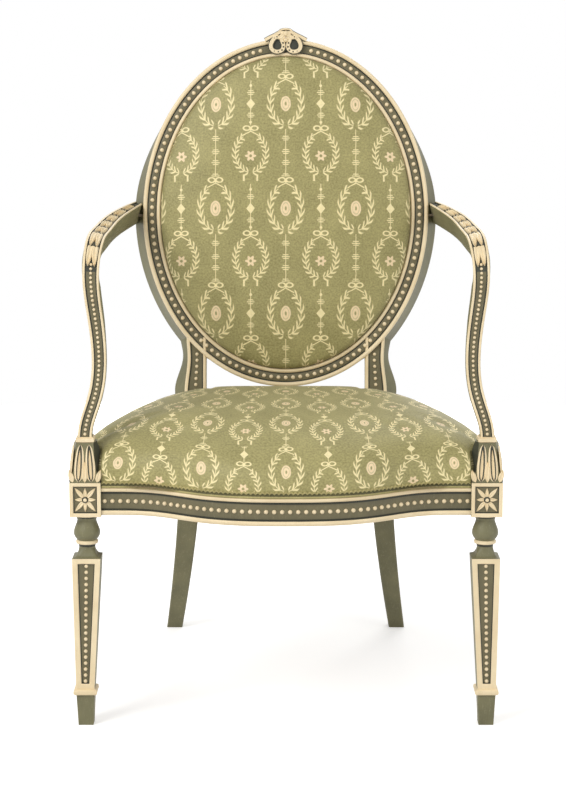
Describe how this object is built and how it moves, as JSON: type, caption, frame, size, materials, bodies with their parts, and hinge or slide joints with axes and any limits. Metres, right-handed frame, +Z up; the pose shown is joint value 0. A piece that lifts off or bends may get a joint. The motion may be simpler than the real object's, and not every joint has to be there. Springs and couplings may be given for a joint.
{
  "type": "upholstered open armchair",
  "caption": "Painted armchair with an oval padded back, swept open arms, a domed padded seat and tapered front legs.",
  "frame": {"origin": "on the floor, under the middle of the chair's outline seen from above", "axes": "+X to the right seen from the front, +Y to the back of the chair, +Z up"},
  "size_m": [0.6352, 0.6358, 1.0183],
  "materials": {
    "painted_wood": "satin",
    "cream_carving": "satin",
    "bare_beech": "matte",
    "silk": "satin",
    "gimp": "matte",
    "stuffing": "matte",
    "linen": "matte",
    "webbing": "matte",
    "screw_steel": "satin"
  },
  "bodies": {
    "root": {"arm_dowels": "bare_beech", "arm_left": "painted_wood", "arm_pearls_left": "cream_carving", "arm_pearls_right": "cream_carving", "arm_right": "painted_wood", "arm_screws": "screw_steel", "arm_support_left": "painted_wood", "arm_support_right": "painted_wood", "back_cover": "silk", "back_crest_rail": "painted_wood", "back_frame_dowels": "bare_beech", "back_linen": "linen", "back_lower_rail": "painted_wood", "back_pearls": "cream_carving", "back_seat_rail": "painted_wood", "back_side_rail_left": "painted_wood", "back_side_rail_right": "painted_wood", "back_stuffing": "stuffing", "back_webbing": "webbing", "corner_block_front_left": "bare_beech", "corner_block_front_right": "bare_beech", "corner_block_rear_left": "bare_beech", "corner_block_rear_right": "bare_beech", "corner_block_screws": "screw_steel", "crest_bow": "cream_carving", "front_leg_left": "painted_wood", "front_leg_right": "painted_wood", "front_rail_pearls": "cream_carving", "front_seat_rail": "painted_wood", "leg_pearls_left": "cream_carving", "leg_pearls_right": "cream_carving", "leg_rosettes_left": "cream_carving", "leg_rosettes_right": "cream_carving", "outside_back_cover": "silk", "rear_leg_left": "painted_wood", "rear_leg_right": "painted_wood", "seat_cover": "silk", "seat_gimp": "gimp", "seat_linen": "linen", "seat_stuffing": "stuffing", "seat_webbing_crosswise": "webbing", "seat_webbing_lengthwise": "webbing", "side_rail_pearls_left": "cream_carving", "side_rail_pearls_right": "cream_carving", "side_seat_rail_left": "painted_wood", "side_seat_rail_right": "painted_wood", "stile_pearls_left": "cream_carving", "stile_pearls_right": "cream_carving"}
  },
  "joints": []
}
